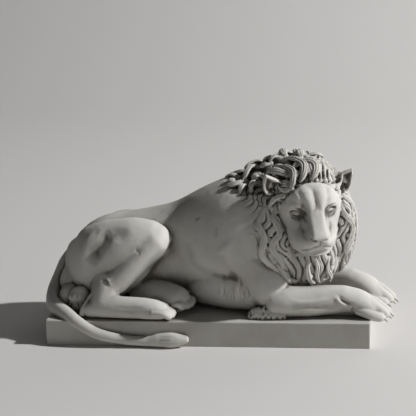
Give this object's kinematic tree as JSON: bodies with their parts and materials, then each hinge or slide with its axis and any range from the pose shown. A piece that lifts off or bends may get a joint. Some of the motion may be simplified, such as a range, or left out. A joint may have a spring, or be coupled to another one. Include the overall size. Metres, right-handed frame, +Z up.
{
  "type": "lion figurine",
  "caption": "Reclining lion with a full mane on a rectangular plinth, head turned to one side and forepaws over the end, cast in plaster.",
  "frame": {"origin": "centre of the plinth's underside", "axes": "+Z up, +X along the plinth towards the forepaws, -Y towards the side that the lion looks at"},
  "size_m": [0.2213, 0.0937, 0.1157],
  "materials": {
    "plaster": "cast gypsum plaster, unpainted, dry and matte"
  },
  "bodies": {
    "root": {"lion_on_plinth": "plaster"}
  },
  "joints": []
}
